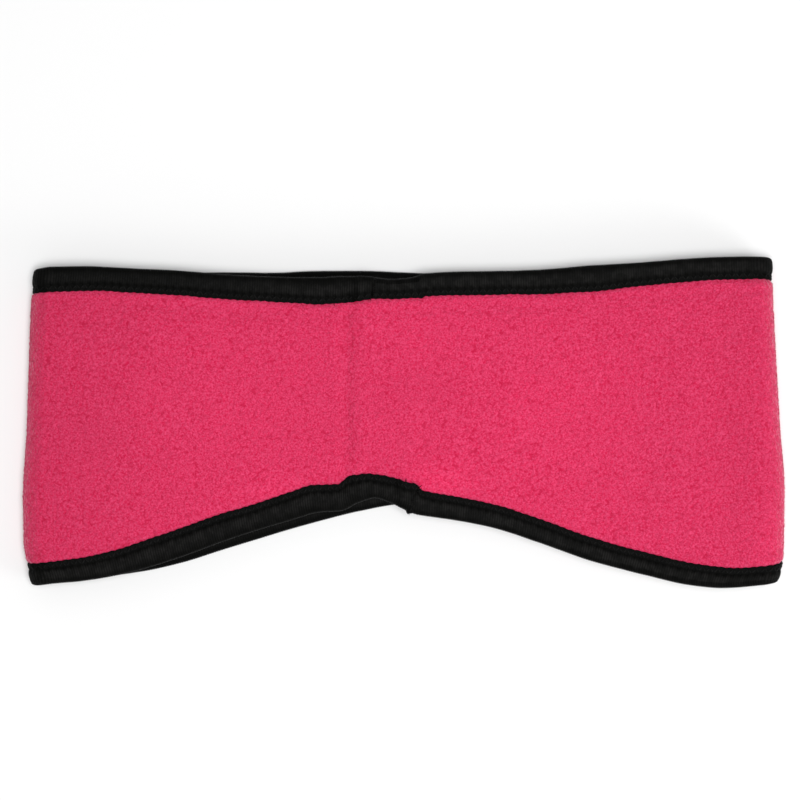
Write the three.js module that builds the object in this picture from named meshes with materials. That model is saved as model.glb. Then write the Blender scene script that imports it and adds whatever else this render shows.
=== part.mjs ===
// Ear warmer headband of fleece, lying flat on a table. The band is one closed loop, sewn together at
// the nape, wide over the ears and narrow at the nape and the forehead. A stretch tape is folded over
// its upper edge and another over its lower edge, and each tape laps over its own end near the seam.
// The nape half of the loop lies on top, the forehead half lies under it, and the ears are at the two
// folds. Millimetres: +X runs along the flat band, +Y towards its straighter edge, +Z up from the
// table. The origin is on the table, under the middle of the band.

import * as THREE from "three";

// Size of the flat band, tapes included.
const flatWidth = 250; // from fold to fold, where the fleece reaches furthest
const earHeight = 108.5; // from edge to edge at the wider ear
const upperDip = 7.4; // how far the upper edge comes down towards the nape
const lowerRise = 29.4; // how far the lower edge goes up at the nape

// Fleece and stretch tape.
const fleeceThickness = 3;
const pressedThickness = 1.3; // fleece pressed together by the tape's stitching
const tapeThickness = 1;
const tapeWidth = 7.9; // one leg of the folded tape, from its edge to the band's edge
const tapeClearance = 0.3; // between the tape and the fleece inside it
const tapeBend = 0.3; // depth of the hollow bend past the fleece's cut edge

// How the two layers lie over each other.
const foldGap = 6; // clear height between the tapes at the folds
const middleGap = 5.3; // clear height between the tapes half way between the folds
const crown = 0.6; // swell of the upper layer's fleece between its tapes
const shoulder = 6; // width over which the fleece leaves the level of its tapes
const plump = 1.2; // width over which pressed fleece fills out again beside a tape

// Nape seam, as a groove with a double layer beside it.
const seamAt = -0.148; // place on the upper layer, as a share of half the flat width
const seamDepth = 0.9;
const seamWidth = 1.5; // from the bottom of the groove to its rim
const seamLift = 0.9; // how far the double layer raises the band

// The upper layer's outline, from the left fold to the right one. along is the place as a share of
// half the flat width, dip is the upper edge's share of upperDip, rise is the lower edge's share of
// lowerRise, and lift is the band's share of seamLift.
const upperLayer = [
  { along: -1.0, dip: 0.6, rise: 0.05, lift: 0 },
  { along: -0.95, dip: 0.49, rise: 0.05, lift: 0 },
  { along: -0.86, dip: 0.43, rise: 0.08, lift: 0 },
  { along: -0.73, dip: 0.5, rise: 0.18, lift: 0 },
  { along: -0.61, dip: 0.6, rise: 0.33, lift: 0 },
  { along: -0.47, dip: 0.79, rise: 0.54, lift: 0 },
  { along: -0.38, dip: 0.89, rise: 0.66, lift: 0 },
  { along: -0.29, dip: 0.92, rise: 0.77, lift: 0 },
  { along: -0.23, dip: 0.9, rise: 0.84, lift: 0.15 },
  { along: -0.17, dip: 0.87, rise: 0.855, lift: 0.1 },
  { along: -0.125, dip: 0.87, rise: 0.945, lift: 0.8 },
  { along: -0.075, dip: 0.9, rise: 1.0, lift: 1 },
  { along: -0.035, dip: 1.0, rise: 0.95, lift: 1 },
  { along: 0.01, dip: 0.93, rise: 0.87, lift: 0.9 },
  { along: 0.04, dip: 0.84, rise: 0.81, lift: 0.55 },
  { along: 0.15, dip: 0.71, rise: 0.745, lift: 0.05 },
  { along: 0.24, dip: 0.67, rise: 0.67, lift: 0 },
  { along: 0.36, dip: 0.61, rise: 0.51, lift: 0 },
  { along: 0.5, dip: 0.46, rise: 0.305, lift: 0 },
  { along: 0.65, dip: 0.25, rise: 0.14, lift: 0 },
  { along: 0.77, dip: 0.12, rise: 0.03, lift: 0 },
  { along: 0.85, dip: 0.05, rise: 0, lift: 0 },
  { along: 0.95, dip: 0.04, rise: 0.03, lift: 0 },
  { along: 1.0, dip: 0.08, rise: 0.06, lift: 0 },
];

// The lower layer's outline, in the same columns. It meets the upper layer's outline at the folds and
// lies a little askew between them, so its tapes look out above and below the upper layer's.
const lowerLayer = [
  { along: -1.0, dip: 0.6, rise: 0.05 },
  { along: -0.86, dip: 0.53, rise: 0.085 },
  { along: -0.7, dip: 0.64, rise: 0.185 },
  { along: -0.6, dip: 0.7, rise: 0.275 },
  { along: -0.5, dip: 0.7, rise: 0.4 },
  { along: -0.35, dip: 0.72, rise: 0.59 },
  { along: -0.25, dip: 0.65, rise: 0.71 },
  { along: -0.12, dip: 0.64, rise: 0.84 },
  { along: 0.0, dip: 0.69, rise: 0.905 },
  { along: 0.06, dip: 0.79, rise: 0.91 },
  { along: 0.13, dip: 0.79, rise: 0.86 },
  { along: 0.24, dip: 0.65, rise: 0.75 },
  { along: 0.36, dip: 0.58, rise: 0.6 },
  { along: 0.48, dip: 0.43, rise: 0.43 },
  { along: 0.6, dip: 0.3, rise: 0.29 },
  { along: 0.72, dip: 0.2, rise: 0.16 },
  { along: 0.85, dip: 0.1, rise: 0.04 },
  { along: 1.0, dip: 0.08, rise: 0.06 },
];

// How far each fold reaches, as a share of half the flat width, up the band's height from its lower
// edge at 0 to its upper edge at 1. The tapes draw the edges in, and the band tapers upwards.
const foldReach = [
  { up: 0, left: 0.98, right: 0.979 },
  { up: 0.05, left: 0.987, right: 0.991 },
  { up: 0.13, left: 0.998, right: 0.997 },
  { up: 0.27, left: 1, right: 1 },
  { up: 0.48, left: 0.991, right: 0.987 },
  { up: 0.66, left: 0.986, right: 0.978 },
  { up: 0.86, left: 0.98, right: 0.969 },
  { up: 1, left: 0.974, right: 0.961 },
];

// Each tape's leg on the upper layer: width is its share of tapeWidth, and layers how many
// thicknesses lie over each other. Both end in a step where the lapping end of the tape is sewn down.
const upperTapeLeg = [
  { along: -0.5, width: 1, layers: 1 },
  { along: -0.3, width: 1.06, layers: 1 },
  { along: -0.13, width: 1.04, layers: 1 },
  { along: -0.11, width: 1.03, layers: 1.8 },
  { along: -0.088, width: 1.0, layers: 1.8 },
  { along: -0.082, width: 0.88, layers: 1 },
  { along: 0.02, width: 0.87, layers: 1 },
  { along: 0.15, width: 0.94, layers: 1 },
  { along: 0.5, width: 1, layers: 1 },
];
const lowerTapeLeg = [
  { along: -0.95, width: 0.95, layers: 1 },
  { along: -0.6, width: 1.06, layers: 1 },
  { along: -0.25, width: 1.1, layers: 1 },
  { along: -0.11, width: 1.0, layers: 1 },
  { along: -0.07, width: 0.97, layers: 1 },
  { along: -0.02, width: 1.04, layers: 1 },
  { along: 0.01, width: 1.08, layers: 1.8 },
  { along: 0.033, width: 1.08, layers: 1.8 },
  { along: 0.039, width: 0.95, layers: 1 },
  { along: 0.5, width: 0.93, layers: 1 },
  { along: 0.95, width: 0.95, layers: 1 },
];

// Stations round the loop and across it.
const wideStep = 7.5; // along a plain stretch
const closeStep = 3; // along the gathered stretch by the seam and the laps
const gathered = { from: -0.27, to: 0.06 }; // on the upper layer, as shares of half the flat width
const foldSteps = 7; // round each fold
const panelSteps = 6; // across the fleece between its tapes
const outerBend = [90, 52, 18, -18, -52, -90]; // degrees round the outside of a tape's bend
const innerBend = [-90, -30, 30, 90]; // and back round its inside
const nearestMarks = 1; // closest that a plain station comes to a marked one
const nudge = 1e-3; // share of a part of the loop over which a direction is taken

const halfWidth = flatWidth / 2;
const halfHeight = earHeight / 2;
const fleeceHalf = fleeceThickness / 2;
const pressedHalf = pressedThickness / 2;
const tapeInside = pressedHalf + tapeClearance;
const tapeOutside = tapeInside + tapeThickness;
const tapeOverhang = tapeClearance + tapeBend + tapeThickness; // past the fleece's cut edge
const foldRadius = foldGap / 2 + tapeOutside; // to the middle of the cloth
const foldDepth = foldRadius + fleeceHalf; // from the end of a flat layer to the tip of its fold
const middleSag = foldGap - middleGap;

const mix = (a, b, share) => a + (b - a) * share;
const easing = (value, from, to) => THREE.MathUtils.smoothstep(value, from, to);

// A smooth curve through one column of a table. It never swings past the rows, because each slope is
// the harmonic mean of the chords beside it, and level where they turn.
function curveThrough(rows, column, key = "along") {
  const at = rows.map((row) => row[key]);
  const value = rows.map((row) => row[column]);
  const chord = value.slice(1).map((next, i) => (next - value[i]) / (at[i + 1] - at[i]));
  const slope = value.map((_, i) => {
    const before = chord[Math.max(i - 1, 0)];
    const after = chord[Math.min(i, chord.length - 1)];
    return before * after > 0 ? (2 * before * after) / (before + after) : 0;
  });
  return (x) => {
    if (x <= at[0]) return value[0];
    if (x >= at[at.length - 1]) return value[at.length - 1];
    const i = at.findIndex((a) => a > x) - 1;
    const span = at[i + 1] - at[i];
    const t = (x - at[i]) / span;
    const ease = t * t * (3 - 2 * t);
    const leave = t * (1 - t) * (1 - t) * span * slope[i];
    const arrive = t * t * (t - 1) * span * slope[i + 1];
    return mix(value[i], value[i + 1], ease) + leave + arrive;
  };
}

const upperDipAt = curveThrough(upperLayer, "dip");
const upperRiseAt = curveThrough(upperLayer, "rise");
const liftAt = curveThrough(upperLayer, "lift");
const lowerDipAt = curveThrough(lowerLayer, "dip");
const lowerRiseAt = curveThrough(lowerLayer, "rise");
const reachAt = { "-1": curveThrough(foldReach, "left", "up"), 1: curveThrough(foldReach, "right", "up") };

// A place on the loop. loop counts its four parts: 0 to 1 the lower layer from left to right, 1 to 2
// the right fold, 2 to 3 the upper layer back to the left, and 3 to 4 the left fold.
function placeOn(loop) {
  const part = THREE.MathUtils.euclideanModulo(loop, 4);
  if (part < 1) return { flat: 2 * part - 1, turn: 0 };
  if (part < 2) return { flat: 1, turn: Math.PI * (part - 1) };
  if (part < 3) return { flat: 5 - 2 * part, turn: Math.PI };
  return { flat: -1, turn: Math.PI * (4 - part) };
}

// What is the same across the whole height of the band at one place on the loop.
function sectionAt(loop) {
  const { flat, turn } = placeOn(loop);
  const side = flat < 0 ? -1 : 1;
  const bulge = side * foldRadius * Math.sin(turn);
  const along = (flat * (halfWidth - foldDepth) + bulge) / halfWidth;
  const upper = (1 - Math.cos(turn)) / 2;
  const dip = mix(lowerDipAt(along), upperDipAt(along), upper);
  const rise = mix(lowerRiseAt(along), upperRiseAt(along), upper);
  const top = halfHeight - upperDip * dip - tapeOverhang;
  const bottom = -halfHeight + lowerRise * rise + tapeOverhang;
  const sag = middleSag * (1 - flat * flat) ** 2;
  const lift = seamLift * liftAt(along);
  return { flat, side, bulge, along, upper, top, bottom, sag, lift };
}

// The middle of the cloth, with up from 0 at the fleece's lower cut edge to 1 at its upper one.
function middleOf(loop, up) {
  const { flat, side, bulge, upper, top, bottom, sag, lift } = sectionAt(loop);
  const x = flat * (halfWidth * reachAt[side](up) - foldDepth) + bulge;
  const y = mix(bottom, top, up);
  const inside = easing(Math.min(up, 1 - up) * (top - bottom), tapeWidth, tapeWidth + shoulder);
  const lying = tapeOutside - (tapeOutside - fleeceHalf) * inside;
  const raised = tapeOutside + 2 * foldRadius - sag + lift + crown * inside;
  return new THREE.Vector3(x, y, mix(lying, raised, upper));
}

// The cloth's directions at a point: along the loop, outwards from the loop, and up across the band
// at right angles to both.
function framesOf(loop, up) {
  const along = middleOf(loop + nudge, up).sub(middleOf(loop - nudge, up)).normalize();
  const across = middleOf(loop, up + nudge).sub(middleOf(loop, up - nudge)).normalize();
  const out = new THREE.Vector3().crossVectors(across, along).normalize();
  const square = new THREE.Vector3().crossVectors(along, out).normalize();
  return { out, square, slant: Math.abs(across.dot(square)) };
}

// How far up the band a point lies that is a given distance in from one of the fleece's cut edges,
// measured square to that edge.
function upFrom(loop, edge, distance) {
  const { top, bottom } = sectionAt(loop);
  const share = distance / ((top - bottom) * framesOf(loop, edge).slant);
  return edge === 0 ? share : 1 - share;
}

// A point off the middle of the cloth.
function offCloth(loop, up, distance) {
  return middleOf(loop, up).addScaledVector(framesOf(loop, up).out, distance);
}

// The leg of a tape at one place on the loop: its width and its number of layers.
function legOf(table) {
  const widthAt = curveThrough(table, "width");
  const layersAt = curveThrough(table, "layers");
  return (loop) => {
    const { along, upper } = sectionAt(loop);
    return {
      width: tapeWidth * mix(1, widthAt(along), upper) - tapeOverhang,
      layers: mix(1, layersAt(along), upper),
    };
  };
}

const upperLegAt = legOf(upperTapeLeg);
const lowerLegAt = legOf(lowerTapeLeg);

// Stations along a layer, from share -1 to share 1 of its flat stretch, closer in a given stretch.
function stationsAlong(closeFrom, closeTo) {
  const flatHalf = halfWidth - foldDepth;
  const spans = [
    { from: -1, to: closeFrom, step: wideStep },
    { from: closeFrom, to: closeTo, step: closeStep },
    { from: closeTo, to: 1, step: wideStep },
  ];
  return spans.flatMap(({ from, to, step }) => {
    const count = Math.ceil(((to - from) * flatHalf) / step);
    return Array.from({ length: count }, (_, i) => mix(from, to, i / count));
  });
}

// All stations round the loop, with some on each side of the seam's groove and of the laps' steps.
function loopStations() {
  const flatShare = halfWidth / (halfWidth - foldDepth);
  const groove = [-1, -0.5, 0, 0.5, 1].map((share) => seamAt + (share * seamWidth) / halfWidth);
  const steps = [...upperTapeLeg, ...lowerTapeLeg]
    .map((row) => row.along)
    .filter((along) => along > gathered.from && along < gathered.to);
  const marks = [...new Set([...groove, ...steps])].map((along) => along * flatShare);
  const apart = nearestMarks / halfWidth;
  const plain = stationsAlong(gathered.from, gathered.to).filter(
    (flat) => flat === -1 || marks.every((mark) => Math.abs(flat - mark) > apart),
  );
  const upper = [...plain, ...marks].sort((a, b) => a - b);
  const fold = Array.from({ length: foldSteps }, (_, i) => i / foldSteps);
  return [
    ...stationsAlong(0, 0).map((flat) => (flat + 1) / 2),
    ...fold.map((share) => 1 + share),
    ...upper.map((flat) => 2 + (1 - flat) / 2).reverse(),
    ...fold.map((share) => 3 + share),
  ];
}

// A closed skin over rings of points: each ring is a closed outline, and the rings close on each
// other round the loop.
function skinOver(rings) {
  const size = rings[0].length;
  const position = new Float32Array(rings.flat().flatMap((point) => point.toArray()));
  const index = rings.flatMap((_, r) => {
    const next = (r + 1) % rings.length;
    return Array.from({ length: size }, (_, p) => {
      const q = (p + 1) % size;
      const corners = [r * size + p, r * size + q, next * size + q, next * size + p];
      return [corners[0], corners[1], corners[2], corners[0], corners[2], corners[3]];
    }).flat();
  });
  const geometry = new THREE.BufferGeometry();
  geometry.setAttribute("position", new THREE.BufferAttribute(position, 3));
  geometry.setIndex(index);
  geometry.computeVertexNormals();
  return geometry;
}

const loops = loopStations();

// Fleece: one ring across the band's height, out over its outer face and back over its inner one.
// It is pressed thin inside the tapes, fills out beside them, and dips into the seam's groove.
function fleeceRing(loop) {
  const lower = lowerLegAt(loop).width;
  const upper = upperLegAt(loop).width;
  const pressed = [
    { up: upFrom(loop, 0, 0), full: 0 },
    { up: upFrom(loop, 0, lower + tapeClearance), full: 0 },
    { up: upFrom(loop, 0, lower + tapeClearance + plump), full: 1 },
  ];
  const released = [
    { up: upFrom(loop, 1, upper + tapeClearance + plump), full: 1 },
    { up: upFrom(loop, 1, upper + tapeClearance), full: 0 },
    { up: upFrom(loop, 1, 0), full: 0 },
  ];
  const panel = Array.from({ length: panelSteps - 1 }, (_, i) => ({
    up: mix(pressed[2].up, released[0].up, (i + 1) / panelSteps),
    full: 1,
  }));
  const { along, upper: onTop } = sectionAt(loop);
  const fromSeam = Math.abs(along - seamAt) * halfWidth;
  const groove = onTop === 1 ? seamDepth * (1 - easing(fromSeam, 0, seamWidth)) : 0;
  const rows = [...pressed, ...panel, ...released];
  const outer = rows.map(({ up, full }) =>
    offCloth(loop, up, mix(pressedHalf, fleeceHalf - groove, full)),
  );
  const inner = rows.map(({ up, full }) => offCloth(loop, up, -mix(pressedHalf, fleeceHalf, full)));
  return [...outer, ...inner.reverse()];
}

// Tape: a U folded over one edge of the fleece. edge is 0 at the lower edge and 1 at the upper one.
function tapeRing(loop, edge, legAt) {
  const { width, layers } = legAt(loop);
  const thickness = tapeThickness * layers;
  const outwards = edge === 0 ? -1 : 1;
  const { out, square } = framesOf(loop, edge);
  const legEnd = (distance) => offCloth(loop, upFrom(loop, edge, width), distance);
  const bend = (depth, half, angles) =>
    angles.map((degrees) => {
      const angle = THREE.MathUtils.degToRad(degrees);
      return middleOf(loop, edge)
        .addScaledVector(square, outwards * (tapeClearance + depth * Math.cos(angle)))
        .addScaledVector(out, half * Math.sin(angle));
    });
  const outer = bend(tapeBend + thickness, tapeInside + thickness, outerBend);
  const inner = bend(tapeBend, tapeInside, innerBend);
  const ring = [
    legEnd(tapeInside + thickness),
    ...outer,
    legEnd(-tapeInside - thickness),
    legEnd(-tapeInside),
    ...inner,
    legEnd(tapeInside),
  ];
  return edge === 0 ? ring.reverse() : ring;
}

const fleece = new THREE.MeshStandardMaterial({ color: 0xde3561, roughness: 1, metalness: 0 });
const tape = new THREE.MeshStandardMaterial({ color: 0x191919, roughness: 0.7, metalness: 0 });

function piece(name, rings, material) {
  const mesh = new THREE.Mesh(skinOver(rings), material);
  mesh.name = name;
  return mesh;
}

const headband = new THREE.Group();
headband.add(
  piece("fleece_band", loops.map(fleeceRing), fleece),
  piece("upper_edge_tape", loops.map((loop) => tapeRing(loop, 1, upperLegAt)), tape),
  piece("lower_edge_tape", loops.map((loop) => tapeRing(loop, 0, lowerLegAt)), tape),
);

// The origin goes under the middle of the finished band, on the table.
const box = new THREE.Box3().setFromObject(headband);
const centre = box.getCenter(new THREE.Vector3());
headband.position.set(-centre.x, -centre.y, -box.min.z);

export default headband;
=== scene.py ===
import math

import bpy
import numpy as np
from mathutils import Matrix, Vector, noise


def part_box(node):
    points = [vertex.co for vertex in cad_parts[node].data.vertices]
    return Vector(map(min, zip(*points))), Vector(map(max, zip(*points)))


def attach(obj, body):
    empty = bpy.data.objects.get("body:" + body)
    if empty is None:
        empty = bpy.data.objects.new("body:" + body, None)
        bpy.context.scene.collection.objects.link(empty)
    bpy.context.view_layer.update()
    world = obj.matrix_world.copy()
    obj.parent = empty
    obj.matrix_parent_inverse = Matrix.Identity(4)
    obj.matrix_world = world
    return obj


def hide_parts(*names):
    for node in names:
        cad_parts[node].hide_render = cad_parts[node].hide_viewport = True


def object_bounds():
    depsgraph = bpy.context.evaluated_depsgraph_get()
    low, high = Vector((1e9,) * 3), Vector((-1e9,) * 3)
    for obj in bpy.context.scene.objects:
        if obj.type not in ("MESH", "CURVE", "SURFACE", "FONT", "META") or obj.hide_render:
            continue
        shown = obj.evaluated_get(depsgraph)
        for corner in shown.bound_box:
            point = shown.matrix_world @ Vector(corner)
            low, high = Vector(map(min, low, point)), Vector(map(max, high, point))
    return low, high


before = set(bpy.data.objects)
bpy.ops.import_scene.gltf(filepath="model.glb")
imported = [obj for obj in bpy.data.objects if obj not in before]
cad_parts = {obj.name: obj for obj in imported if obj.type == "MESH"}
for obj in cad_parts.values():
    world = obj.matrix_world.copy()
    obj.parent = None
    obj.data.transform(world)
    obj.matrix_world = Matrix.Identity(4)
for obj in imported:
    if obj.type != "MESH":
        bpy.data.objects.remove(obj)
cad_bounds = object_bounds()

# Fleece band. One length of pink polar fleece, napped on both faces, cut wide over the ears and
# narrow at the nape and the forehead. Its short ends are sewn together at the nape. It lies flat,
# folded at the ears, with the nape half on top.
mm = 0.001
fleece_low, fleece_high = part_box("fleece_band")
half_width = (fleece_high.x - fleece_low.x) / 2
edge_high = cad_bounds[1].y + 0.12 * mm  # highest point of the upper edge, stretched a touch
edge_low = cad_bounds[0].y - 0.25 * mm  # lowest point of the lower edge, likewise
upper_dip = 7.4 * mm  # sag of the upper edge
lower_rise = 29.4 * mm  # arch of the lower edge
fleece_thick = 3.0 * mm
pressed_thick = 1.3 * mm  # squeezed between a tape's legs
tape_thick = 1.0 * mm
tape_width = 7.9 * mm  # from a tape's inner edge to the band's edge
tape_clear = 0.3 * mm  # between the fleece and a tape's leg
tape_bend = 0.3 * mm  # and between its cut edge and the tape's bend
fold_gap = 6.0 * mm  # between the layers at the folds
middle_gap = 5.3 * mm  # and in the middle
crown = 0.6 * mm  # how far the panels stand above their edges
shoulder = 6.0 * mm  # how wide the rise to that height is
seam_lift = 0.9 * mm  # the upper layer stands higher where seam and laps lie over each other


def columns(names, rows):
    """A table with named columns, as one array a column."""
    return dict(zip(names.split(), np.array(rows, float).T))


# The upper layer's outline from the left fold to the right one, with along as a share of half the
# flat width, dip and rise as shares of upper_dip and lower_rise, and lift as one of seam_lift.
upper_layer = columns("along dip rise lift", [
    (-1.0, 0.58, 0.02, 0),
    (-0.95, 0.47, 0.045, 0),
    (-0.86, 0.45, 0.08, 0),
    (-0.73, 0.545, 0.18, 0),
    (-0.61, 0.64, 0.33, 0),
    (-0.47, 0.82, 0.54, 0),
    (-0.38, 0.89, 0.66, 0),
    (-0.29, 0.93, 0.77, 0),
    (-0.23, 0.93, 0.84, 0.15),
    (-0.17, 0.89, 0.855, 0.1),
    (-0.125, 0.89, 0.945, 0.8),
    (-0.075, 0.945, 1.0, 1),
    (-0.035, 1.01, 0.95, 1),
    (0.01, 0.965, 0.87, 0.9),
    (0.038, 0.88, 0.815, 0.55),
    (0.06, 0.76, 0.8, 0.4),
    (0.15, 0.68, 0.745, 0.05),
    (0.24, 0.66, 0.67, 0),
    (0.36, 0.61, 0.51, 0),
    (0.5, 0.425, 0.305, 0),
    (0.65, 0.275, 0.14, 0),
    (0.77, 0.12, 0.03, 0),
    (0.85, 0.045, 0, 0),
    (0.95, 0.02, 0.03, 0),
    (1.0, 0.04, 0.06, 0),
])

# The lower layer's outline, which lies a little askew under the upper one.
lower_layer = columns("along dip rise", [
    (-1.0, 0.58, 0.02),
    (-0.86, 0.53, 0.085),
    (-0.7, 0.64, 0.175),
    (-0.6, 0.7, 0.27),
    (-0.5, 0.673, 0.4),
    (-0.35, 0.695, 0.59),
    (-0.25, 0.625, 0.71),
    (-0.12, 0.61, 0.845),
    (0.0, 0.68, 0.925),
    (0.06, 0.715, 0.93),
    (0.13, 0.76, 0.86),
    (0.24, 0.67, 0.75),
    (0.36, 0.62, 0.6),
    (0.48, 0.45, 0.43),
    (0.6, 0.33, 0.29),
    (0.72, 0.22, 0.16),
    (0.85, 0.1, 0.04),
    (1.0, 0.04, 0.06),
])

# How far each fold reaches, as a share of half the flat width, from the lower edge at up 0 to the
# upper edge at up 1.
fold_reach = columns("up left right", [
    (0, 0.976, 0.982),
    (0.05, 0.987, 0.996),
    (0.13, 0.998, 0.9995),
    (0.27, 1, 1.001),
    (0.48, 0.991, 0.989),
    (0.66, 0.986, 0.98),
    (0.86, 0.98, 0.971),
    (1, 0.969, 0.965),
])

fleece_half = fleece_thick / 2
pressed_half = pressed_thick / 2
tape_inside = pressed_half + tape_clear
tape_outside = tape_inside + tape_thick
tape_overhang = tape_clear + tape_bend + tape_thick
fold_radius = fold_gap / 2 + tape_outside
fold_depth = fold_radius + fleece_half
middle_sag = fold_gap - middle_gap


def mix(a, b, share):
    """What lies between a and b, at a share of the way."""
    return a + (b - a) * share


def easing(value, start, end):
    """A soft step from 0 at start to 1 at end."""
    share = np.clip((value - start) / (end - start), 0, 1)
    return share * share * (3 - 2 * share)


def hump(value, width):
    """A smooth bump of height 1 round 0, that is nearly gone at twice its width."""
    return np.exp(-((value / width) ** 2))


def curve_through(table, column, key="along"):
    """A smooth curve through a column that never swings past its rows."""
    at = table[key]
    value = table[column]
    chord = np.diff(value) / np.diff(at)
    before = np.concatenate([chord[:1], chord])
    after = np.concatenate([chord, chord[-1:]])
    climbs_on = before * after > 0
    slope = np.where(climbs_on, 2 * before * after / np.where(climbs_on, before + after, 1), 0)

    def curve(x):
        i = np.clip(np.searchsorted(at, x, side="right") - 1, 0, len(at) - 2)
        span = at[i + 1] - at[i]
        t = np.clip((x - at[i]) / span, 0, 1)
        ease = t * t * (3 - 2 * t)
        leave = t * (1 - t) ** 2 * span * slope[i]
        arrive = t * t * (t - 1) * span * slope[i + 1]
        return mix(value[i], value[i + 1], ease) + leave + arrive

    return curve


upper_dip_at = curve_through(upper_layer, "dip")
upper_rise_at = curve_through(upper_layer, "rise")
lift_at = curve_through(upper_layer, "lift")
lower_dip_at = curve_through(lower_layer, "dip")
lower_rise_at = curve_through(lower_layer, "rise")
left_reach_at = curve_through(fold_reach, "left", "up")
right_reach_at = curve_through(fold_reach, "right", "up")
least_dip = upper_layer["dip"].min()
least_rise = upper_layer["rise"].min()


def section_at(loop):
    """What is the same across the band's height at one place on the loop. loop runs from 0 to 1
    along the lower layer, to 2 round the right fold, to 3 back along the upper layer, and to 4
    round the left fold."""
    part = np.mod(loop, 4)
    runs = [part < 1, part < 2, part < 3]
    flat = np.select(runs, [2 * part - 1, 1.0, 5 - 2 * part], -1.0)
    turn = math.pi * np.select(runs, [0.0, part - 1, 1.0], 4 - part)
    bulge = np.sign(flat) * fold_radius * np.sin(turn)
    along = (flat * (half_width - fold_depth) + bulge) / half_width
    upper = (1 - np.cos(turn)) / 2
    dip = mix(lower_dip_at(along), upper_dip_at(along), upper)
    rise = mix(lower_rise_at(along), upper_rise_at(along), upper)
    top = edge_high - upper_dip * (dip - least_dip) - tape_overhang
    bottom = edge_low + lower_rise * (rise - least_rise) + tape_overhang
    sag = middle_sag * (1 - flat * flat) ** 2
    return flat, bulge, along, upper, top, bottom, sag


def middle_of(loop, up):
    """The middle of the cloth, with up from 0 at the lower cut edge to 1 at the upper one."""
    flat, bulge, along, upper, top, bottom, sag = section_at(loop)
    reach = np.where(flat < 0, left_reach_at(up), right_reach_at(up))
    x = flat * (half_width * reach - fold_depth) + bulge
    y = mix(bottom, top, up)
    from_edge = np.minimum(up, 1 - up) * (top - bottom)
    inside = easing(from_edge, tape_width, tape_width + shoulder)
    lying = tape_outside - (tape_outside - fleece_half) * inside
    raised = tape_outside + 2 * fold_radius - sag + seam_lift * lift_at(along) + crown * inside
    z = mix(lying, raised, upper)
    return np.stack(np.broadcast_arrays(x, y, z), axis=-1)


def unit(vectors):
    """The same directions with length 1."""
    return vectors / np.linalg.norm(vectors, axis=-1, keepdims=True)


def frames_of(loop, up):
    """Unit directions at a point: out of the loop, and up across the band, square to the loop."""
    nudge = 1e-3
    along = unit(middle_of(loop + nudge, up) - middle_of(loop - nudge, up))
    across = unit(middle_of(loop, up + nudge) - middle_of(loop, up - nudge))
    out = unit(np.cross(across, along))
    square = unit(np.cross(along, out))
    return out, square, np.abs(np.sum(across * square, axis=-1))


def up_from(loop, edge, distance):
    """How far up the band a point lies, a distance in from one of the fleece's cut edges."""
    *_, top, bottom, _ = section_at(loop)
    share = distance / ((top - bottom) * frames_of(loop, np.full_like(loop, edge))[2])
    return share if edge == 0 else 1 - share


# Each tape's leg on the upper layer, with width as a share of tape_width.
upper_tape_leg = columns("along width", [
    (-0.92, 1.05),
    (-0.8, 1.01),
    (-0.54, 1.03),
    (-0.4, 1.03),
    (-0.28, 1.09),
    (-0.23, 1.14),
    (-0.14, 1.09),
    (-0.12, 1.05),
    (-0.08, 0.9),
    (-0.035, 0.84),
    (0.022, 0.86),
    (0.045, 0.91),
    (0.07, 0.97),
    (0.2, 1.0),
    (0.28, 0.99),
    (0.42, 1.04),
    (0.52, 1.09),
    (0.62, 1.0),
    (0.7, 0.96),
    (0.95, 0.94),
])
lower_tape_leg = columns("along width", [
    (-0.95, 0.9),
    (-0.8, 0.98),
    (-0.65, 1.11),
    (-0.5, 1.1),
    (-0.4, 1.06),
    (-0.25, 1.14),
    (-0.14, 1.12),
    (-0.1, 1.05),
    (-0.06, 0.96),
    (-0.02, 1.03),
    (0.012, 1.05),
    (0.037, 1.18),
    (0.0445, 1.04),
    (0.08, 1.0),
    (0.3, 0.93),
    (0.7, 0.9),
    (0.82, 0.87),
    (0.9, 0.79),
    (0.96, 0.78),
])
leg_curves = [curve_through(lower_tape_leg, "width"), curve_through(upper_tape_leg, "width")]


def leg_of(loop, edge):
    """A tape leg's width, from the fleece's cut edge to the tape's inner edge. edge is 0 at the
    lower tape and 1 at the upper one."""
    _, _, along, upper, *_ = section_at(loop)
    return tape_width * mix(1, leg_curves[edge](along), upper) - tape_overhang


measuring_steps = 8000  # round the loop, to measure lengths along it


def spaced_round(edge, pitch_at):
    """Places round the loop, spaced along one of the band's edges by the pitch wanted there."""
    fine = np.linspace(0, 4, measuring_steps + 1)
    path = middle_of(fine, np.full_like(fine, edge))
    step = np.linalg.norm(np.diff(path, axis=0), axis=1)
    wanted = step / pitch_at(fine[:-1] + (fine[1] - fine[0]) / 2)
    count = np.concatenate([[0], np.cumsum(wanted)])
    total = max(3, round(count[-1]))
    length = np.concatenate([[0], np.cumsum(step)])
    places = np.interp(np.arange(total) * count[-1] / total, count, fine)
    return places, np.interp(places, fine, length), length[-1]


def noise_over(points, size):
    """Smooth noise between -1 and 1 at each point, with lumps of the given size."""
    flat = (points.reshape(-1, 3) / size).tolist()
    return np.array([noise.noise(Vector(point)) for point in flat]).reshape(points.shape[:-1])


def loop_faces(stations, around):
    """Four-sided faces over closed rings that close on each other round the loop."""
    i, j = np.meshgrid(np.arange(stations), np.arange(around), indexing="ij")
    next_i = (i + 1) % stations
    next_j = (j + 1) % around
    corners = [i * around + j, i * around + next_j, next_i * around + next_j, next_i * around + j]
    return np.stack(corners, axis=-1).reshape(-1, 4).tolist()


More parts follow.
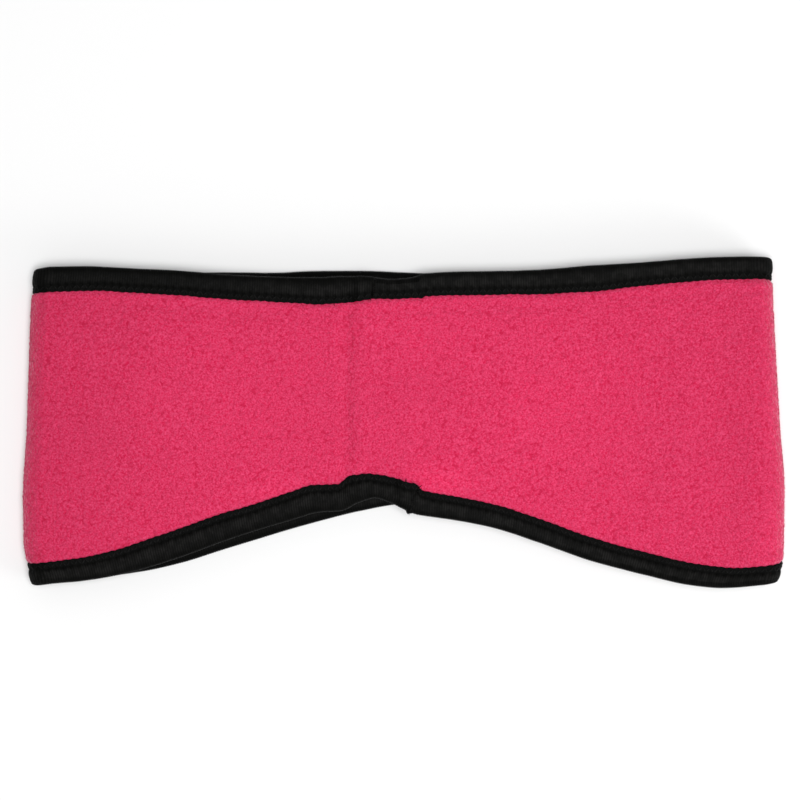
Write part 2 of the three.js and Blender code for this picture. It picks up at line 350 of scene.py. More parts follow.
def make_piece(name, points, faces, material):
    """A smooth-shaded mesh piece that goes with the whole band."""
    mesh = bpy.data.meshes.new(name)
    mesh.from_pydata(points.reshape(-1, 3).tolist(), [], faces)
    mesh.polygons.foreach_set("use_smooth", [True] * len(mesh.polygons))
    mesh.materials.append(material)
    piece = bpy.data.objects.new(name, mesh)
    bpy.context.collection.objects.link(piece)
    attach(piece, "root")
    return piece


def new_group(name, inputs, outputs):
    """An empty shader node group with its own sockets."""
    group = bpy.data.node_groups.new(name, "ShaderNodeTree")
    for label, kind, value in inputs:
        socket = group.interface.new_socket(label, in_out="INPUT", socket_type=kind)
        socket.default_value = value
    for label, kind in outputs:
        group.interface.new_socket(label, in_out="OUTPUT", socket_type=kind)
    return group, group.nodes.new("NodeGroupInput"), group.nodes.new("NodeGroupOutput")


def place_group(material, group, **values):
    """A node group placed in a material, with its own values."""
    node = material.node_tree.nodes.new("ShaderNodeGroup")
    node.node_tree = group
    for label, value in values.items():
        node.inputs[label.replace("_", " ").capitalize()].default_value = value
    return node


def new_material(name):
    """A material with its node tree and its own Principled shader."""
    material = bpy.data.materials.new(name)
    material.use_nodes = True
    return material, material.node_tree, material.node_tree.nodes["Principled BSDF"]


def set_inputs(node, values):
    """A node's own values, by the names of its inputs."""
    for label, value in values.items():
        node.inputs[label].default_value = value


def math_node(tree, operation, first, second):
    """A math node fed by sockets or numbers."""
    node = tree.nodes.new("ShaderNodeMath")
    node.operation = operation
    for socket, value in zip(node.inputs, (first, second)):
        if isinstance(value, (int, float)):
            socket.default_value = value
        else:
            tree.links.new(value, socket)
    return node.outputs[0]


def range_node(tree, value, start, end, low=0.0, high=1.0):
    """A value brought smoothly from one range into another."""
    node = tree.nodes.new("ShaderNodeMapRange")
    node.interpolation_type = "SMOOTHSTEP"
    tree.links.new(value, node.inputs["Value"])
    set_inputs(node, {"From Min": start, "From Max": end, "To Min": low, "To Max": high})
    return node.outputs["Result"]


def noise_node(tree, vector, scale, detail=2.0):
    """Cloudy noise with so many lumps a metre."""
    node = tree.nodes.new("ShaderNodeTexNoise")
    set_inputs(node, {"Scale": scale, "Detail": detail})
    tree.links.new(vector, node.inputs["Vector"])
    return node


pebbles_per_metre = 900.0
pebble_crumple = 0.7 * mm  # how strongly the pebbles are pulled out of shape
crumples_per_metre = 900.0
flecks_per_metre = 1850.0
fibres_per_metre = 2600.0
lays_per_metre = 45.0  # broad places where the nap lies much the same way
fine_detail = 6.0
pebble_softness = 0.35
pebble_slope = (0.8, 0.15)  # from a pebble's foot to its crown, as shares of its size
pit_shade_slope = (0.6, 0.88)  # from its flank down into the crevice beside it, where shade is painted
fleck_range = (0.26, 0.74)  # of the noise, from the darkest fleck to the lightest
fibre_share = 0.8  # how much relief the fibres have for one of the pebbles


def make_pebbled_nap():
    """Brushed nap that has balled into small pebbles: pebble size and crumple in, and out of it
    the height, the light and dark flecks of its tufts, a mask for painted shade in the crevices
    between pebbles and a broad change of tone."""
    group, given, out = new_group(
        "Pebbled nap",
        [
            ("Lumps per metre", "NodeSocketFloat", pebbles_per_metre),
            ("Crumple", "NodeSocketFloat", pebble_crumple),
        ],
        [(label, "NodeSocketFloat") for label in ("Height", "Fleck", "Crevice shade", "Tone")],
    )
    place = group.nodes.new("ShaderNodeTexCoord").outputs["Object"]
    stir = noise_node(group, place, crumples_per_metre)
    centred = group.nodes.new("ShaderNodeVectorMath")
    centred.operation = "SUBTRACT"
    centred.inputs[1].default_value = (0.5, 0.5, 0.5)
    group.links.new(stir.outputs["Color"], centred.inputs[0])
    stirred = group.nodes.new("ShaderNodeVectorMath")
    stirred.operation = "SCALE"
    group.links.new(centred.outputs[0], stirred.inputs[0])
    group.links.new(given.outputs["Crumple"], stirred.inputs["Scale"])
    moved = group.nodes.new("ShaderNodeVectorMath")
    moved.operation = "ADD"
    group.links.new(place, moved.inputs[0])
    group.links.new(stirred.outputs[0], moved.inputs[1])
    pebbles = group.nodes.new("ShaderNodeTexVoronoi")
    pebbles.feature = "SMOOTH_F1"
    pebbles.inputs["Smoothness"].default_value = pebble_softness
    group.links.new(moved.outputs[0], pebbles.inputs["Vector"])
    group.links.new(given.outputs["Lumps per metre"], pebbles.inputs["Scale"])
    flecks = noise_node(group, moved.outputs[0], flecks_per_metre, fine_detail)
    fibres = noise_node(group, moved.outputs[0], fibres_per_metre, fine_detail)
    broad = noise_node(group, place, lays_per_metre, 3.0)
    lump = range_node(group, pebbles.outputs["Distance"], *pebble_slope)
    fine = math_node(group, "MULTIPLY", fibres.outputs["Fac"], fibre_share)
    group.links.new(math_node(group, "ADD", lump, fine), out.inputs["Height"])
    group.links.new(range_node(group, flecks.outputs["Fac"], *fleck_range), out.inputs["Fleck"])
    group.links.new(range_node(group, pebbles.outputs["Distance"], *pit_shade_slope), out.inputs["Crevice shade"])
    group.links.new(broad.outputs["Fac"], out.inputs["Tone"])
    return group


colour_a, colour_b, colour_out = 6, 7, 2  # the colour sockets of a Mix node


def tint_node(tree, factor, first, second):
    """Colour that goes from the first to the second as factor goes from 0 to 1."""
    node = tree.nodes.new("ShaderNodeMix")
    node.data_type = "RGBA"
    tree.links.new(factor, node.inputs["Factor"])
    for socket, colour in ((node.inputs[colour_a], first), (node.inputs[colour_b], second)):
        if isinstance(colour, tuple):
            socket.default_value = (*colour, 1.0)
        else:
            tree.links.new(colour, socket)
    return node.outputs[colour_out]


def with_painted_light(tree, colour):
    """A colour made deeper or paler by the painted light and shade of the broad places."""
    tone = tree.nodes.new("ShaderNodeAttribute")
    tone.attribute_name = "painted_light_tone"
    node = tree.nodes.new("ShaderNodeMix")
    node.data_type = "RGBA"
    node.blend_type = "MULTIPLY"
    node.inputs["Factor"].default_value = 1.0
    tree.links.new(colour, node.inputs[colour_a])
    tree.links.new(tone.outputs["Fac"], node.inputs[colour_b])
    return node.outputs[colour_out]


def add_relief(tree, shader, height, strength, distance):
    """Relief that is too fine for the mesh, on a material's shader."""
    bump = tree.nodes.new("ShaderNodeBump")
    set_inputs(bump, {"Strength": strength, "Distance": distance})
    tree.links.new(height, bump.inputs["Height"])
    tree.links.new(bump.outputs["Normal"], shader.inputs["Normal"])


pink_deep = (0.525, 0.0008, 0.044)  # down in the nap
pink_warm = tuple(1.08 * channel for channel in pink_deep)  # where the nap stands a little more open
pink_light = (0.745, 0.058, 0.161)  # on the tips of its tufts
pink_pit_shade = (0.45, 0.0008, 0.035)  # painted shade in the crevices between pebbles
pit_shade_strength = 0.68
pebbled_nap = make_pebbled_nap()


def make_fleece_material():
    """Polar fleece: dull dyed polyester nap with a soft sheen where it is seen edge on."""
    material, tree, shader = new_material("pink_polar_fleece")
    nap = place_group(
        material, pebbled_nap, lumps_per_metre=pebbles_per_metre, crumple=pebble_crumple
    )
    tone = range_node(tree, nap.outputs["Tone"], 0.3, 0.7)
    dull = tint_node(tree, tone, pink_deep, pink_warm)
    flecked = tint_node(tree, nap.outputs["Fleck"], dull, pink_light)
    # Painted shade: the colour is darkened in the crevices between pebbles.
    painted_pit_shade = math_node(tree, "MULTIPLY", nap.outputs["Crevice shade"], pit_shade_strength)
    dyed = tint_node(tree, painted_pit_shade, flecked, pink_pit_shade)
    # The painted light and shade of the broad places is multiplied in.
    tree.links.new(with_painted_light(tree, dyed), shader.inputs["Base Color"])
    add_relief(tree, shader, nap.outputs["Height"], strength=0.72, distance=0.35 * mm)
    set_inputs(shader, {
        "Roughness": 0.95,
        "Specular IOR Level": 0.15,
        "Sheen Weight": 0.55,
        "Sheen Roughness": 0.5,
        "Sheen Tint": (1.0, 0.5, 0.65, 1.0),
    })
    return material


fleece_material = make_fleece_material()
upper_pitch = 0.72 * mm  # between stations of the mesh, along the layer that shows
fold_pitch = 0.75 * mm
lower_pitch = 1.9 * mm
seam_pitch = 0.4 * mm
seam_at = -0.148  # place on the upper layer, as a share of half the flat width
seam_reach = 3 * mm  # how far to each side of the seam the mesh is finer


def fleece_pitch(loop):
    """Spacing of the shell's stations, close on top and at the folds, and closer at the seam."""
    _, _, along, upper, *_ = section_at(loop)
    on_fold = np.mod(loop, 2) > 1
    near_seam = (np.abs(along - seam_at) * half_width < seam_reach) & (upper == 1)
    pitch = np.where(upper > 0.5, upper_pitch, lower_pitch)
    return np.where(near_seam, seam_pitch, np.where(on_fold, fold_pitch, pitch))


# The fleece's face from a tape's inner edge, with beyond in millimetres and face as a share of
# its full half thickness: squeezed under the tape, then a soft roll that stands up beside it.
beside_tape = columns("beyond face", [
    (-7, 0.433),
    (-0.5, 0.45),
    (0.1, 0.68),
    (0.55, 0.98),
    (1.5, 1.13),
    (4.5, 1.03),
    (9, 1.0),
])
face_curve = curve_through(beside_tape, "face", "beyond")
outer_rows = 116
inner_rows = 26
rows_under_tape = np.array([0.0, 0.6])  # as shares of the tape's leg


def fleece_grid():
    """The fleece's face round the loop: rows from the lower cut edge over the outer face to the
    upper one, and back over the inner face."""
    places, *_ = spaced_round(0.5, fleece_pitch)
    loop = places[:, None]
    lower_leg = leg_of(loop, 0)
    upper_leg = leg_of(loop, 1)
    *_, top, bottom, _ = section_at(loop)
    low = up_from(loop, 0, lower_leg)
    high = up_from(loop, 1, upper_leg)

    def rows(count):
        below = low * rows_under_tape
        shown = mix(low, high, np.linspace(0, 1, count)[None, :])
        above = 1 - (1 - high) * rows_under_tape[::-1]
        return np.concatenate([below, shown, above], axis=1)

    def face_at(up):
        beyond = np.minimum(up - low, high - up) * (top - bottom) / mm
        return fleece_half * face_curve(beyond)

    outer_up = rows(outer_rows)
    inner_up = rows(inner_rows)[:, ::-1]
    loop_out = np.broadcast_to(loop, outer_up.shape)
    loop_in = np.broadcast_to(loop, inner_up.shape)
    out_way = frames_of(loop_out, outer_up)[0]
    in_way = frames_of(loop_in, inner_up)[0]
    out = middle_of(loop_out, outer_up) + out_way * face_at(outer_up)[..., None]
    inn = middle_of(loop_in, inner_up) - in_way * face_at(inner_up)[..., None]
    return places, out, inn, outer_up, low, high, top - bottom


seam_depth = 0.45 * mm
seam_width = 2.2 * mm
seam_waver = 0.25 * mm  # the seam isn't quite straight
seam_waver_length = 9 * mm
welt_height = 0.2 * mm  # the turned-in ends of the cloth swell beside the seam
welt_from_seam = 4.6 * mm
welt_width = 2.4 * mm
fold_roll = 0.55 * mm  # the springy right fold stands above the panel beside it
fold_roll_from_tip = 6.5 * mm
fold_roll_width = 6.0 * mm
fold_fall = 1.3 * mm  # the left fold is pressed flatter, so the panel falls towards it
fold_fall_width = 16.0 * mm
wave_height = 0.28 * mm
wave_length = 26 * mm
pebble_height = 0.09 * mm
pebble_size = 0.95 * mm
lump_height = 0.05 * mm
lump_size = 1.7 * mm
relief_starts = (0.2 * mm, 3.0 * mm)  # from a tape, where the relief sets in and is at its full height


def dress_outer_face(places, out, up, low, high, height):
    """Seam groove, the roll at the folds, soft waves and pebbles on the outer face."""
    loop = np.broadcast_to(places[:, None], up.shape)
    _, _, along, upper, *_ = section_at(loop)
    clear = easing(np.minimum(up - low, high - up) * height, *relief_starts)
    waver = seam_waver * noise_over(out * [0, 1, 0], seam_waver_length)
    from_seam = (along - seam_at) * half_width + waver
    groove = seam_depth * hump(from_seam, seam_width)
    welt = welt_height * hump(np.abs(from_seam) - welt_from_seam, welt_width)
    seam = np.where(upper == 1, groove - welt, 0)
    from_tip = half_width - np.abs(out[..., 0])
    rolled = fold_roll * hump(from_tip - fold_roll_from_tip, fold_roll_width)
    fallen = -fold_fall * easing(fold_fall_width - from_tip, 0, fold_fall_width)
    roll = np.where(out[..., 0] > 0, rolled, fallen) * np.clip(2 * upper - 1, 0, 1)
    wave = wave_height * noise_over(out, wave_length) * upper
    pebble = pebble_height * noise_over(out, pebble_size) + lump_height * noise_over(out, lump_size)
    rise = clear * (roll + wave + pebble - seam)
    dressed = out + frames_of(loop, up)[0] * rise[..., None]
    dressed[..., 2] = np.maximum(dressed[..., 2], 0)
    return dressed


places, fleece_out, fleece_in, fleece_up, *borders = fleece_grid()
fleece_low_up, fleece_high_up, fleece_height = borders
fleece_out = dress_outer_face(places, fleece_out, fleece_up, *borders)
inner_relief = 0.12 * mm
inner_lump_size = 2.4 * mm
fleece_in = fleece_in + inner_relief * noise_over(fleece_in, inner_lump_size)[..., None] * [0, 0, 1]
fleece_rings = np.concatenate([fleece_out, fleece_in], axis=1)
fleece_shell = make_piece(
    "fleece_shell", fleece_rings, loop_faces(*fleece_rings.shape[:2]), fleece_material
)

# Painted light and shade. Broad soft places where the fleece's colour is made deeper or paler to
# stand in for how the light falls: deepest at the left end, where the light falls off. Each place
# has its middle, with along as a share of half the flat width and y in millimetres, how far it
# reaches each way, and how much deeper or paler it is.
painted_light_places = columns("along y width height tone", [
    (-0.88, 0, 0.23, 300, -0.11),
    (-0.62, 34, 0.3, 9, -0.04),
    (-0.34, -23, 0.1, 6, 0.06),
    (0.04, 12, 0.11, 9, -0.04),
    (0.1, -19, 0.08, 5, 0.12),
    (0.36, 2, 0.16, 24, 0.045),
    (0.76, 0, 0.25, 300, -0.05),
    (0.875, 0, 0.05, 300, -0.045),
])


def give_painted_light(piece, points):
    """The painted light and shade at each point of a piece, as a factor on its colour, 1 where none is
    painted.
    """
    along = points[..., 0].ravel() / half_width
    y = points[..., 1].ravel() / mm
    tone = np.ones(len(along))
    for middle, middle_y, width, height, change in zip(*painted_light_places.values()):
        tone += change * hump(along - middle, width) * hump(y - middle_y, height)
    attribute = piece.data.attributes.new("painted_light_tone", "FLOAT", "POINT")
    attribute.data.foreach_set("value", tone.astype(np.float32))


give_painted_light(fleece_shell, fleece_rings)
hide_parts("fleece_band")

# Pile. The brushed face of the same fleece, short tufts of fibre that have bunched together. They
# lie nearly flat on the panels and show as fuzz along the folds and beside the tapes.
tuft_bunches = 16200  # on each half of the band
tufts_in_bunch = 3
tuft_length = (0.45 * mm, 0.9 * mm)
tuft_half_width = 0.085 * mm
tuft_depth = 0.05 * mm
bunch_spread = 0.4 * mm
root_sunk = 0.04 * mm  # a tuft's root sits this deep in the nap
tuft_rise = (0.12, 0.5)  # how steeply a tuft stands, as a share of its length
stray_lean = 0.8  # how far a tuft leans its own way, off the way of its bunch
own_shade = 0.35  # how far its tone is its own, and not its bunch's
fold_density = 2.6  # tufts on the folds for one on the panels
pile_clear = 0.15 * mm  # bare beside the tapes
pile_from = 0.03  # how far up the folds it starts, with the lower layer at 0 and the upper at 1
fold_until = 0.999  # and how far up they still count as folds
pile_seed = 41
pink_root = (0.5, 0.0204, 0.08)


def make_pile_material():
    """Loose fibre tips of the fleece, a little lighter than the matted nap under them."""
    material, tree, shader = new_material("pink_fleece_pile")
    shade = tree.nodes.new("ShaderNodeAttribute")
    shade.attribute_name = "tuft_shade"
    dyed = tint_node(tree, shade.outputs["Fac"], pink_root, pink_light)
    # The painted light and shade of the broad places is multiplied in here too.
    tree.links.new(with_painted_light(tree, dyed), shader.inputs["Base Color"])
    set_inputs(shader, {
        "Roughness": 0.9,
        "Specular IOR Level": 0.1,
        "Sheen Weight": 0.12,
        "Sheen Roughness": 0.5,
        "Sheen Tint": (1.0, 0.45, 0.6, 1.0),
    })
    return material


def scatter_on(grid, count, wanted, random):
    """Random points on a grid of surface points, with their normals, where wanted is above 0."""
    corner = grid[:-1, :-1]
    along = grid[1:, :-1] - corner
    across = grid[:-1, 1:] - corner
    normal = np.cross(across, along)
    area = np.linalg.norm(normal, axis=-1)
    weight = (area * wanted[:-1, :-1]).ravel()
    cell = random.choice(len(weight), size=count, p=weight / weight.sum())
    share = random.random((2, count, 1))
    points = corner.reshape(-1, 3)[cell]
    points = points + share[0] * along.reshape(-1, 3)[cell] + share[1] * across.reshape(-1, 3)[cell]
    return points, unit(normal.reshape(-1, 3)[cell])


def make_pile(name, side):
    """Tufts on the left or the right half: slender, flattened, closed at both ends, in bunches
    that lean much the same way."""
    random = np.random.default_rng(pile_seed + side)
    loop = np.broadcast_to(places[:, None], fleece_up.shape)
    upper = section_at(loop)[3]
    clear = np.minimum(fleece_up - fleece_low_up, fleece_high_up - fleece_up) * fleece_height
    shows = (upper > pile_from) & (clear > pile_clear) & (fleece_out[..., 0] * side > 0)
    wanted = shows * np.where(upper < fold_until, fold_density, 1.0)
    root, normal = scatter_on(fleece_out, tuft_bunches, wanted, random)
    lean = unit(np.cross(normal, random.normal(size=root.shape)))
    shade = np.repeat(random.random(tuft_bunches), tufts_in_bunch)
    root = np.repeat(root, tufts_in_bunch, axis=0)
    normal = np.repeat(normal, tufts_in_bunch, axis=0)
    lean = np.repeat(lean, tufts_in_bunch, axis=0)
    count = len(root)
    stray = unit(np.cross(normal, random.normal(size=root.shape)))
    lean = unit(lean + stray_lean * random.random((count, 1)) * stray)
    root = root + stray * bunch_spread * random.random((count, 1)) - root_sunk * normal
    across = np.cross(normal, lean)
    rise = random.uniform(*tuft_rise, (count, 1))
    heading = lean * np.sqrt(1 - rise**2) + normal * rise
    tip = root + random.uniform(*tuft_length, (count, 1)) * heading
    left = root + tuft_half_width * across
    right = root - tuft_half_width * across
    keel = root - tuft_depth * normal
    points = np.stack([left, right, keel, tip], axis=1)
    tones = mix(shade, random.random(count), own_shade)
    above_table = points[..., 2].min(axis=1) > 0
    points = points[above_table]
    tones = tones[above_table]
    count = len(points)
    sides = np.array([(0, 1, 3), (2, 0, 3), (1, 2, 3), (0, 2, 1)])
    faces = (np.arange(count)[:, None, None] * 4 + sides).reshape(-1, 3).tolist()
    pile = make_piece(name, points, faces, pile_material)
    pile.data.polygons.foreach_set("use_smooth", [False] * len(faces))
    tone = pile.data.attributes.new("tuft_shade", "FLOAT", "POINT")
    tone.data.foreach_set("value", np.repeat(tones, 4).astype(np.float32))
    give_painted_light(pile, points)
    return pile


pile_material = make_pile_material()
left_pile = make_pile("fleece_pile_left", -1)
right_pile = make_pile("fleece_pile_right", 1)

# Edge tapes. Black cross-ribbed stretch tape, folded in half over each cut edge of the fleece and
# sewn through all layers. It goes all the way round and laps over its own start near the seam.
rib_pitch = 0.8 * mm
rib_height = 0.2 * mm
stations_per_rib = 3
rib_section = np.array([0.0, 1.0, 0.9])  # one groove and two stations on the rib's back
stitch_step = 1.25 * mm  # from one needle hole to the next
stitch_near = 0.6 * mm  # from the tape's inner edge to the nearer row of holes
stitch_far = 2.1 * mm  # and to the farther row
near_pit = (0.22 * mm, 0.4 * mm, 0.45 * mm)  # a needle pit's depth, and its reach across and along
far_pit = (0.4 * mm, 0.45 * mm, 0.5 * mm)
ribs_full = 0.5 * mm  # from the inner edge, where the ribs reach their full height
pressed_at = 1.3 * mm  # but between the rows of holes the thread flattens them
pressed_width = 0.9 * mm
pressed_share = 0.55
tooth_height = 0.09 * mm  # the inner edge is drawn in a little at each stitch
waver_height = 0.12 * mm  # and wavers over a longer way
waver_length = 5 * mm
bend_waver = 0.05 * mm
least_reach = 0.05 * mm  # from the fleece's cut edge, for a leg's outermost row

# Where each lap starts and ends, with the lower tape's first, as shares of half the flat width on
# the upper layer. Its end is cut aslant, by slant from the tape's inner edge to the band's edge.
laps = columns("start end slant", [
    (-0.004, 0.0435, -0.031),
    (-0.118, -0.085, 0.004),
])
lap_rise = 0.02  # the way on which the lap climbs onto the tape under it
lap_end = 0.0012  # half the way on which it steps down at its cut end
lap_thick = 0.8 * mm
lap_corner = (2.5 * mm, 1.05 * mm)  # where the lower lap's outer corner sticks out, and how far
lap_corner_width = 0.75 * mm
slant_width = 7 * mm

# The tape's face across a leg, from its inner edge towards the band's edge: beyond in
# millimetres, and face as a share of the tape's full thickness. The stitches press it down.
across_tape = columns("beyond face", [
    (0, 0.55),
    (0.35, 0.72),
    (0.9, 0.58),
    (1.5, 0.54),
    (2.1, 0.64),
    (2.8, 0.92),
    (4.2, 1.1),
    (5.6, 1.08),
    (7.2, 0.95),
])
tape_face_curve = curve_through(across_tape, "face", "beyond")

# Rows of the mesh in millimetres from a leg's inner edge, on the leg that shows and on the other.
show_rows = [0.0, 0.18, 0.45, 0.75, 1.05, 1.4, 1.75, 2.1, 2.45, 2.9, 3.5, 4.2, 4.9, 5.5, 6.0]
back_rows = [0.0, 0.3, 0.75, 1.4, 2.1, 2.8, 4.2, 5.6]
bend_turns = np.radians([62, 34, 8, -18, -44, -70])
inner_turns = np.radians([-60, 0, 60])
inner_shares = np.array([0.98, 0.5])  # rows inside a leg, as shares of its width

# Painted light on the tape, with only a little of it on the stitched border: then in millimetres
# from the inner edge where the highlight grows across the middle of a leg and where it fades
# towards the bend.
border_highlight = 0.12
highlight_grows = (1.9, 3.6)
highlight_fades = (4.6, 6.4)
highlight_lost = 0.45  # the share that is gone at the bend
bend_highlight = (0.4, 0.0)  # painted highlight round the bend, from its upper side to none on the lower one
hidden_highlight = 0.6  # the other leg's share of the painted highlight
groove_highlight = 0.15  # and the grooves' share between the ribs, left in painted shade
peep_light = 1.7  # more painted light where the lower layer's edge shows beside the seam
peep_at = -0.075
peep_width = 0.045
left_shade_share = 0.6  # and less at the left end of the upper tape, painted shade where the light falls off
left_shade_at = -0.75
left_shade_width = 0.4


def painted_rib_highlight(beyond):
    """How much painted highlight the ribs catch, across the tape from its stitched inner edge."""
    return easing(beyond, *highlight_grows) * (1 - highlight_lost * easing(beyond, *highlight_fades)) + border_highlight


def lap_steps(along, across, edge, upper):
    """How far the lapping end lies over the tape, from 0 to 1, with across from 0 at the tape's
    inner edge to 1 at the band's edge."""
    start = laps["start"][edge]
    end = laps["end"][edge] + laps["slant"][edge] * across
    climbs = easing(along, start - lap_rise, start)
    steps_down = easing(along, end - lap_end, end + lap_end)
    return climbs * (1 - steps_down) * (upper == 1)


def tape_rings(edge):
    """Rings of points round one tape's section, station by station round the loop."""
    rib_count = spaced_round(edge, lambda loop: np.full_like(loop, rib_pitch))[0].size
    pitch = rib_pitch / stations_per_rib
    stations, length, total = spaced_round(edge, lambda loop: np.full_like(loop, pitch))
    stations = stations[: rib_count * stations_per_rib]
    length = length[: len(stations)]
    loop = stations[:, None]
    _, _, along, upper, *_ = section_at(loop)
    rib = rib_section[np.arange(len(stations)) % stations_per_rib][:, None]
    outwards = 1 if edge == 1 else -1
    holes = length[:, None] / stitch_step
    near_hole = np.abs(np.mod(holes + 1, 2) - 1)
    far_hole = np.abs(np.mod(holes, 2) - 1)
    waver = noise_over(middle_of(stations, np.full_like(stations, edge)), waver_length)[:, None]
    tooth = tooth_height * np.cos(math.pi * holes) + waver_height * waver
    leg = leg_of(loop, edge) + tooth

    def pits_in(beyond, row, from_hole, pit):
        depth, reach_across, reach_along = pit
        return depth * hump(beyond - row, reach_across) * hump(from_hole * stitch_step, reach_along)

    def leg_points(rows, side):
        beyond = np.array(rows)[None, :] * mm
        reach = np.maximum(leg - beyond, least_reach)
        thick = tape_thick * tape_face_curve(np.broadcast_to(beyond / mm, reach.shape))
        thick = thick + lap_thick * lap_steps(along, beyond / slant_width, edge, upper)
        thick = thick - pits_in(beyond, stitch_near, near_hole, near_pit)
        thick = thick - pits_in(beyond, stitch_far, far_hole, far_pit)
        ribbed = easing(beyond, 0, ribs_full)
        ribbed = ribbed * (1 - pressed_share * hump(beyond - pressed_at, pressed_width))
        thick = thick + rib_height * (rib - 0.5) * ribbed
        up = up_from(np.broadcast_to(loop, reach.shape), edge, reach)
        loops = np.broadcast_to(loop, up.shape)
        out = frames_of(loops, up)[0]
        return middle_of(loops, up) + side * out * (tape_inside + thick)[..., None]

    def inner_points(shares, side):
        reach = leg * shares[None, :]
        up = up_from(np.broadcast_to(loop, reach.shape), edge, reach)
        loops = np.broadcast_to(loop, up.shape)
        return middle_of(loops, up) + side * frames_of(loops, up)[0] * tape_inside

    def bend_points(turns, depth, half):
        cut = np.full_like(loop, edge)
        out, square, _ = frames_of(loop, cut)
        turns = turns[None, :, None]
        bulge = tape_clear + (depth[..., None] + corner[..., None]) * np.cos(turns)
        return middle_of(loop, cut) + outwards * square * bulge + out * half[..., None] * np.sin(turns)

    lap = lap_thick * lap_steps(along, 1.0, edge, upper)
    corner_at, corner_height = lap_corner
    corner = corner_height * hump(along * half_width - corner_at, lap_corner_width) * (upper == 1)
    corner = corner * (edge == 0)
    rib_relief = rib_height * (rib - 0.5) + bend_waver * waver
    outside = tape_thick + lap * np.sin(np.maximum(bend_turns, 0))[None, :] + rib_relief
    even = np.ones((len(loop), len(inner_turns)))
    rings = np.concatenate([
        leg_points(show_rows, 1),
        bend_points(bend_turns, tape_bend + outside, tape_inside + outside),
        leg_points(back_rows, -1)[:, ::-1],
        inner_points(inner_shares, -1),
        bend_points(inner_turns, tape_bend * even, tape_inside * even),
        inner_points(inner_shares[::-1], 1),
    ], axis=1)
    rings[..., 2] = np.maximum(rings[..., 2], 0)
    # Painted light: a highlight across the middle of each leg and on the upper side of the bend, on
    # the backs of the ribs more than in their grooves, which are left in painted shade.
    rub_and_highlight = np.concatenate([
        painted_rib_highlight(np.array(show_rows)),
        np.linspace(*bend_highlight, len(bend_turns)),
        hidden_highlight * painted_rib_highlight(np.array(back_rows))[::-1],
        np.zeros(len(inner_turns) + 2 * len(inner_shares)),
    ])
    # More painted light where the lower layer's edge peeps out beside the seam.
    peep_lit = peep_light * hump(along - peep_at, peep_width) * (upper == 0)
    # Painted shade at the left end of the upper tape, where the light falls off.
    left_shade = left_shade_share * hump(along - left_shade_at, left_shade_width) * edge
    lint_and_highlight = mix(groove_highlight, 1, rib) * rub_and_highlight * (1 + peep_lit) * (1 - left_shade)
    if edge == 0:
        rings = rings[:, ::-1]
        lint_and_highlight = lint_and_highlight[:, ::-1]
    return rings, lint_and_highlight, total


tape_yarns = 2400.0  # a metre
lint_per_metre = 420.0


def make_ribbed_yarns():
    """Fine yarns of tape and thread, and patches where they have picked up lint."""
    group, given, out = new_group(
        "Ribbed yarns",
        [("Yarns per metre", "NodeSocketFloat", tape_yarns)],
        [("Height", "NodeSocketFloat"), ("Wear", "NodeSocketFloat")],
    )
    place = group.nodes.new("ShaderNodeTexCoord").outputs["Object"]
    yarns = noise_node(group, place, tape_yarns)
    group.links.new(given.outputs["Yarns per metre"], yarns.inputs["Scale"])
    worn = noise_node(group, place, lint_per_metre, fine_detail)
    group.links.new(yarns.outputs["Fac"], out.inputs["Height"])
    group.links.new(range_node(group, worn.outputs["Fac"], 0.35, 0.7), out.inputs["Wear"])
    return group


ribbed_yarns = make_ribbed_yarns()
tape_black = (0.0012, 0.0013, 0.0011)
# The greyer colour serves both the random lint patches and the painted highlight on the ribs.
tape_rubbed_and_lit = (0.0102, 0.0098, 0.0094)
cleanest = 0.35  # the least that a clean patch shows of the rub
tape_roughness = (0.5, 0.68)


def make_tape_material():
    """Black dyed elastic rib: dark and satin, greyer in lint patches, with painted highlight on the
    ribs.
    """
    material, tree, shader = new_material("black_ribbed_tape")
    yarns = place_group(material, ribbed_yarns, yarns_per_metre=tape_yarns)
    lint_and_highlight = tree.nodes.new("ShaderNodeAttribute")
    lint_and_highlight.attribute_name = "lint_and_highlight"
    patchy = range_node(tree, yarns.outputs["Wear"], 0.0, 1.0, cleanest, 1.0)
    # Painted highlight from the tape's attribute, broken up by random lint patches.
    rub_and_highlight = math_node(tree, "MULTIPLY", lint_and_highlight.outputs["Fac"], patchy)
    tree.links.new(tint_node(tree, rub_and_highlight, tape_black, tape_rubbed_and_lit), shader.inputs["Base Color"])
    roughness = range_node(tree, yarns.outputs["Height"], 0.3, 0.7, *tape_roughness)
    tree.links.new(roughness, shader.inputs["Roughness"])
    add_relief(tree, shader, yarns.outputs["Height"], strength=0.7, distance=0.12 * mm)
    shader.inputs["Specular IOR Level"].default_value = 0.04
    return material


tape_material = make_tape_material()


def make_tape(name, node, edge):
    """One tape all the way round, and its length along the band's edge."""
    rings, lint_and_highlight, length = tape_rings(edge)
    tape = make_piece(name, rings, loop_faces(*rings.shape[:2]), tape_material)
    shade = tape.data.attributes.new("lint_and_highlight", "FLOAT", "POINT")
    shade.data.foreach_set("value", lint_and_highlight.ravel().astype(np.float32))
    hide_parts(node)
    return tape, length


upper_tape, upper_length = make_tape("upper_tape", "upper_edge_tape", 1)
lower_tape, lower_length = make_tape("lower_tape", "lower_edge_tape", 0)

# Stitches. Black polyester thread in a zigzag along the inner edge of both legs of each tape,
# through tape and fleece. Each thread dives into a needle hole at both ends.
thread_half = 0.14 * mm
thread_sides = 5
stitch_bow = np.array([-1.6, 0.0, 0.6, 0.0, -1.6])  # height along a stitch, in thread radii
thread_rubbed = (0.00612, 0.00588, 0.00564)


